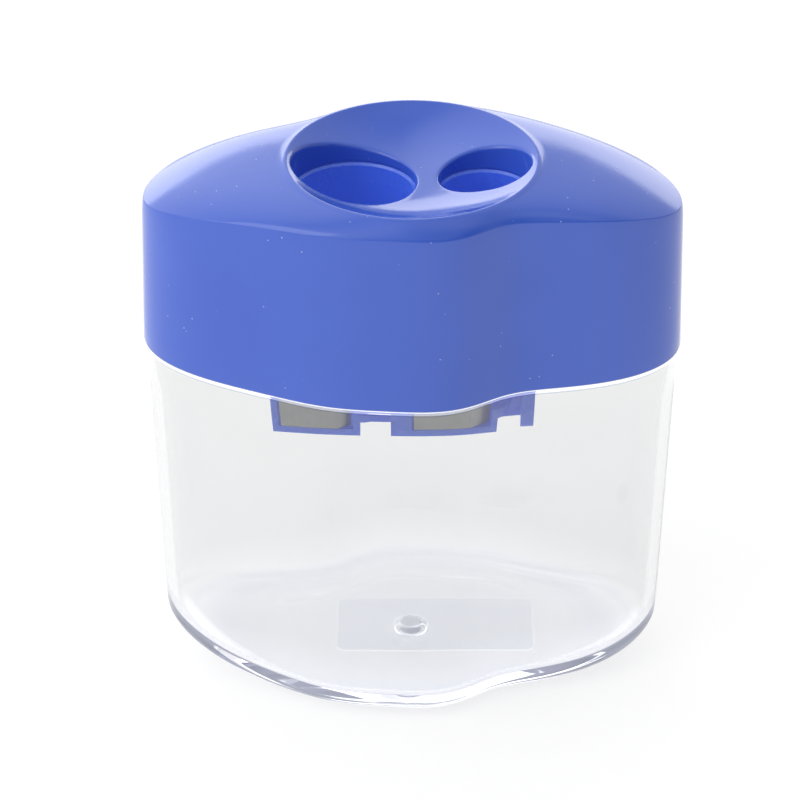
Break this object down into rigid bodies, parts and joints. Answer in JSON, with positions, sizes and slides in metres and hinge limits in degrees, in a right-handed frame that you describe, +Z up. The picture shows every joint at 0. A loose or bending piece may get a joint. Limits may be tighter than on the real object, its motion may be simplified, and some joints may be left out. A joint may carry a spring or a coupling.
{
  "type": "pencil sharpener",
  "caption": "Container pencil sharpener: a push-on lid carries a blade insert with a large and a small conical pencil bore over a clear shavings container.",
  "frame": {"origin": "middle of the base, on the surface that the sharpener stands on", "axes": "+Z up along the lid's lift, +X towards the small bore's tip, -Y the side that the blades face"},
  "size_m": [0.0504, 0.0278, 0.0542],
  "materials": {
    "clear_shell": "polished clear polystyrene",
    "paper_label": "blank matte paper",
    "lid_plastic": "glossy opaque blue, moulded",
    "insert_plastic": "semi-gloss opaque blue, moulded",
    "blade_steel": "ground carbon steel",
    "screw_steel": "nickel plated, satin"
  },
  "bodies": {
    "base": {"container": "clear_shell", "base_label": "paper_label"},
    "top": {"lid": "lid_plastic", "sharpener_insert": "insert_plastic", "large_bore_blade": "blade_steel", "large_bore_screw": "screw_steel", "small_bore_blade": "blade_steel", "small_bore_screw": "screw_steel"}
  },
  "joints": [
    {"name": "lid_lift", "type": "slide", "parent": "base", "child": "top", "axis": [0, 0, 1], "range_m": [0, 0.03]}
  ]
}
